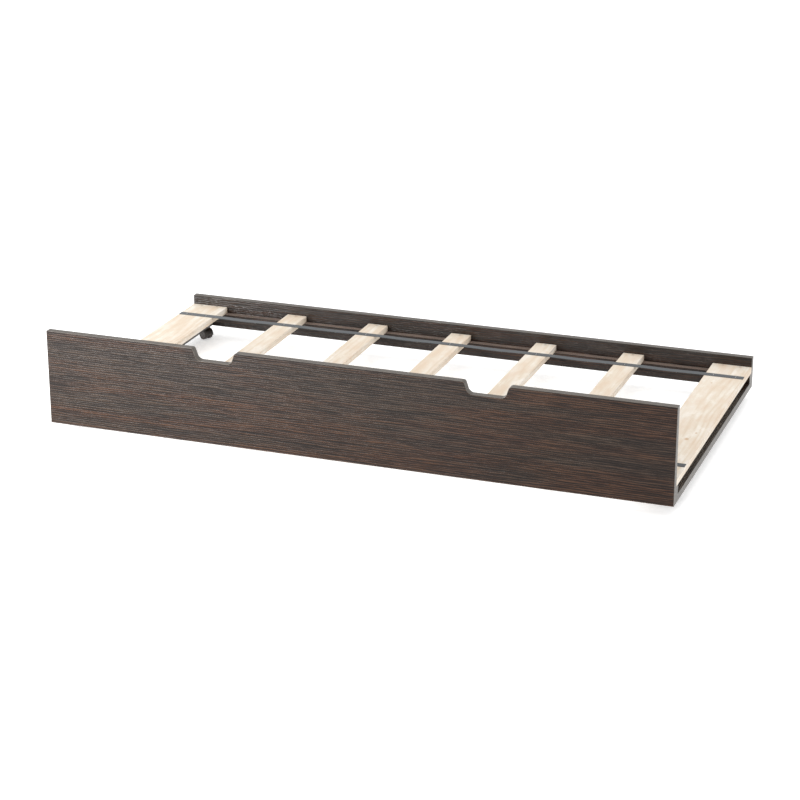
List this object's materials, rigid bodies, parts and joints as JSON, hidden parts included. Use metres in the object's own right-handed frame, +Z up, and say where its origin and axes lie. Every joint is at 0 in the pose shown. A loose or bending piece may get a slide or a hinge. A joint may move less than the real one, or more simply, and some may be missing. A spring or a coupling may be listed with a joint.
{
  "type": "trundle bed",
  "caption": "Low pull-out bed on swivel casters, with a tall front panel with finger cut-outs, a low back panel and a slatted base held by straps.",
  "frame": {"origin": "on the floor under the wheels, at the middle of the bed's length and depth", "axes": "+X along the bed's length, -Y towards the tall front panel, +Z up"},
  "size_m": [1.92, 1.044, 0.331],
  "materials": {
    "dark_laminate": "dark brown wood-grain laminate with fine lengthwise streaks, satin",
    "edge_band": "grey-brown plastic edge band, satin",
    "pale_softwood": "planed, unfinished pale softwood with small knots",
    "beech_dowel": "plain beech dowel",
    "strap_webbing": "slate-grey woven webbing",
    "zinc_steel": "zinc-plated steel",
    "caster_steel": "dull zinc-plated steel",
    "caster_plastic": "dark moulded nylon",
    "wheel_plastic": "dark moulded nylon wheel"
  },
  "bodies": {
    "root": {"back_ledger": "dark_laminate", "back_left_caster_plate": "caster_steel", "back_panel": "dark_laminate", "back_panel_edging": "edge_band", "back_right_caster_plate": "caster_steel", "caster_screws": "zinc_steel", "end_slat_left": "pale_softwood", "end_slat_right": "pale_softwood", "front_ledger": "dark_laminate", "front_left_caster_plate": "caster_steel", "front_panel": "dark_laminate", "front_panel_edging": "edge_band", "front_right_caster_plate": "caster_steel", "kingpins": "caster_steel", "ledger_end_caps": "edge_band", "ledger_screws": "zinc_steel", "left_end_rail": "dark_laminate", "left_end_rail_edging": "edge_band", "rail_dowels": "beech_dowel", "rail_screws": "zinc_steel", "right_end_rail": "dark_laminate", "right_end_rail_edging": "edge_band", "slat_2": "pale_softwood", "slat_3": "pale_softwood", "slat_4": "pale_softwood", "slat_5": "pale_softwood", "slat_6": "pale_softwood", "slat_screws": "zinc_steel", "strap_back": "strap_webbing", "strap_front": "strap_webbing", "strap_staples": "zinc_steel", "swivel_washers": "caster_plastic"},
    "front_left_caster": {"front_left_caster_body": "caster_plastic", "front_left_axle": "caster_steel"},
    "front_left_wheel_a": {"front_left_wheel_a": "wheel_plastic"},
    "front_left_wheel_b": {"front_left_wheel_b": "wheel_plastic"},
    "front_right_caster": {"front_right_caster_body": "caster_plastic", "front_right_axle": "caster_steel"},
    "front_right_wheel_a": {"front_right_wheel_a": "wheel_plastic"},
    "front_right_wheel_b": {"front_right_wheel_b": "wheel_plastic"},
    "back_left_caster": {"back_left_caster_body": "caster_plastic", "back_left_axle": "caster_steel"},
    "back_left_wheel_a": {"back_left_wheel_a": "wheel_plastic"},
    "back_left_wheel_b": {"back_left_wheel_b": "wheel_plastic"},
    "back_right_caster": {"back_right_caster_body": "caster_plastic", "back_right_axle": "caster_steel"},
    "back_right_wheel_a": {"back_right_wheel_a": "wheel_plastic"},
    "back_right_wheel_b": {"back_right_wheel_b": "wheel_plastic"}
  },
  "joints": [
    {"name": "front_left_swivel", "type": "hinge", "parent": "root", "child": "front_left_caster", "pos_m": [-0.92, -0.41, 0.037], "axis": [0, 0, 1], "continuous": true},
    {"name": "front_left_wheel_a_spin", "type": "hinge", "parent": "front_left_caster", "child": "front_left_wheel_a", "pos_m": [-0.90698, -0.39907, 0.0175], "axis": [-0.6428, 0.766, 0], "continuous": true},
    {"name": "front_left_wheel_b_spin", "type": "hinge", "parent": "front_left_caster", "child": "front_left_wheel_b", "pos_m": [-0.90698, -0.39907, 0.0175], "axis": [-0.6428, 0.766, 0], "continuous": true},
    {"name": "front_right_swivel", "type": "hinge", "parent": "root", "child": "front_right_caster", "pos_m": [0.92, -0.41, 0.037], "axis": [0, 0, 1], "continuous": true},
    {"name": "front_right_wheel_a_spin", "type": "hinge", "parent": "front_right_caster", "child": "front_right_wheel_a", "pos_m": [0.90698, -0.39907, 0.0175], "axis": [-0.6428, -0.766, 0], "continuous": true},
    {"name": "front_right_wheel_b_spin", "type": "hinge", "parent": "front_right_caster", "child": "front_right_wheel_b", "pos_m": [0.90698, -0.39907, 0.0175], "axis": [-0.6428, -0.766, 0], "continuous": true},
    {"name": "back_left_swivel", "type": "hinge", "parent": "root", "child": "back_left_caster", "pos_m": [-0.92, 0.4805, 0.037], "axis": [0, 0, 1], "continuous": true},
    {"name": "back_left_wheel_a_spin", "type": "hinge", "parent": "back_left_caster", "child": "back_left_wheel_a", "pos_m": [-0.90528, 0.472, 0.0175], "axis": [0.5, 0.866, 0], "continuous": true},
    {"name": "back_left_wheel_b_spin", "type": "hinge", "parent": "back_left_caster", "child": "back_left_wheel_b", "pos_m": [-0.90528, 0.472, 0.0175], "axis": [0.5, 0.866, 0], "continuous": true},
    {"name": "back_right_swivel", "type": "hinge", "parent": "root", "child": "back_right_caster", "pos_m": [0.92, 0.4805, 0.037], "axis": [0, 0, 1], "continuous": true},
    {"name": "back_right_wheel_a_spin", "type": "hinge", "parent": "back_right_caster", "child": "back_right_wheel_a", "pos_m": [0.90459, 0.47331, 0.0175], "axis": [0.4226, -0.9063, 0], "continuous": true},
    {"name": "back_right_wheel_b_spin", "type": "hinge", "parent": "back_right_caster", "child": "back_right_wheel_b", "pos_m": [0.90459, 0.47331, 0.0175], "axis": [0.4226, -0.9063, 0], "continuous": true}
  ]
}
